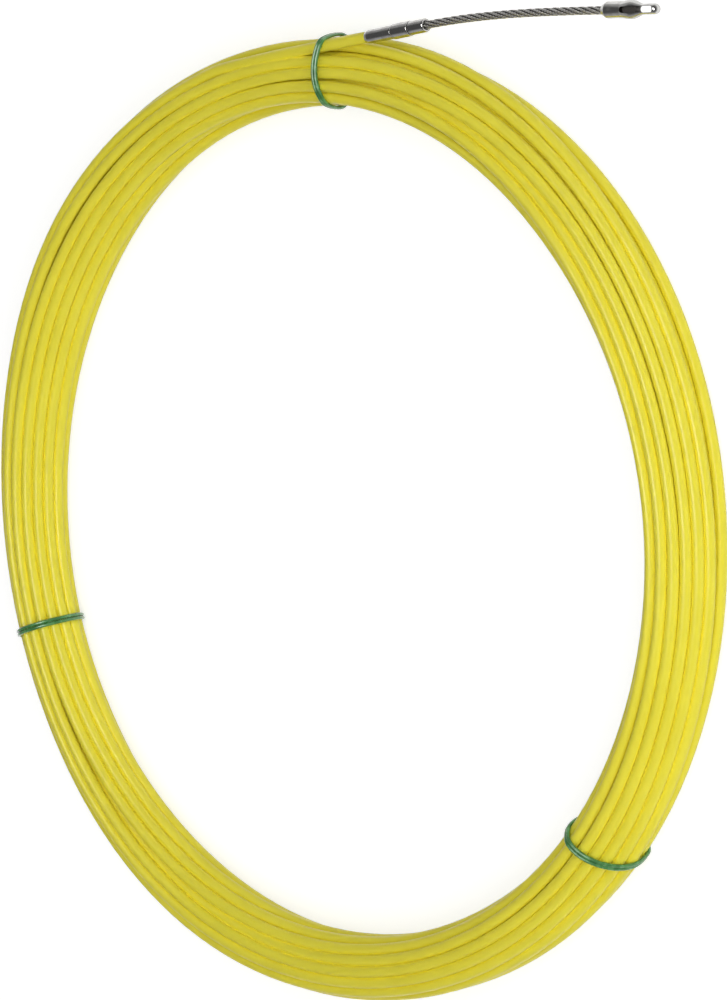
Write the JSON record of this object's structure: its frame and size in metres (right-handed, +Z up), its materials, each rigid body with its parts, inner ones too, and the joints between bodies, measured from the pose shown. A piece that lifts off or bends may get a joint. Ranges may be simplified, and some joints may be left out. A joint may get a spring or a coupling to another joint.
{
  "type": "coiled cable-pulling tape",
  "caption": "Flat tied coil of round plastic draw tape for pulling cables through conduit, with a screwed-on wire-rope leader and eye tip at the front end and a plain eye at the rear end.",
  "frame": {"origin": "middle of the whole part's outline, on the surface that the coil lies on", "axes": "+Z up along the coil's axis; +X the way that the leader points out of the coil; +Y towards the side of the coil where the leader leaves it"},
  "size_m": [0.3496, 0.3368, 0.0218],
  "materials": {
    "tape": "glossy extruded yellow polyamide",
    "fittings": "bright plated turned steel",
    "rope": "bare twisted steel wire",
    "ties": "glossy green plastic-coated wire"
  },
  "bodies": {
    "coil": {"tape_coil": "tape", "front_ferrule": "fittings", "rear_eye": "fittings", "tie_by_leader": "ties", "tie_by_rear_eye": "ties", "tie_opposite": "ties"},
    "leader": {"rope_collar": "fittings", "leader_rope": "rope"},
    "coupling": {"coupling_nut": "fittings"},
    "tip": {"eye_tip": "fittings"}
  },
  "joints": [
    {"name": "leader_draw", "type": "slide", "parent": "coil", "child": "leader", "axis": [0.9999, -0.014, 0], "range_m": [0, 0.005]},
    {"name": "nut_turn", "type": "hinge", "parent": "leader", "child": "coupling", "pos_m": [0.05875, 0.16197, 0.01762], "axis": [0.9999, -0.014, 0], "range_deg": [0, 3600.1]},
    {"name": "leader_flex", "type": "hinge", "parent": "leader", "child": "tip", "pos_m": [0.11294, 0.15907, 0.01762], "axis": [0, 0, 1], "range_deg": [-45, 60], "stiffness_Nm_per_rad": 0.05, "deforming": ["leader_rope"]}
  ],
  "couplings": [
    {"joint": "nut_turn", "follows": "leader_draw", "rad_per_m": 12566}
  ]
}
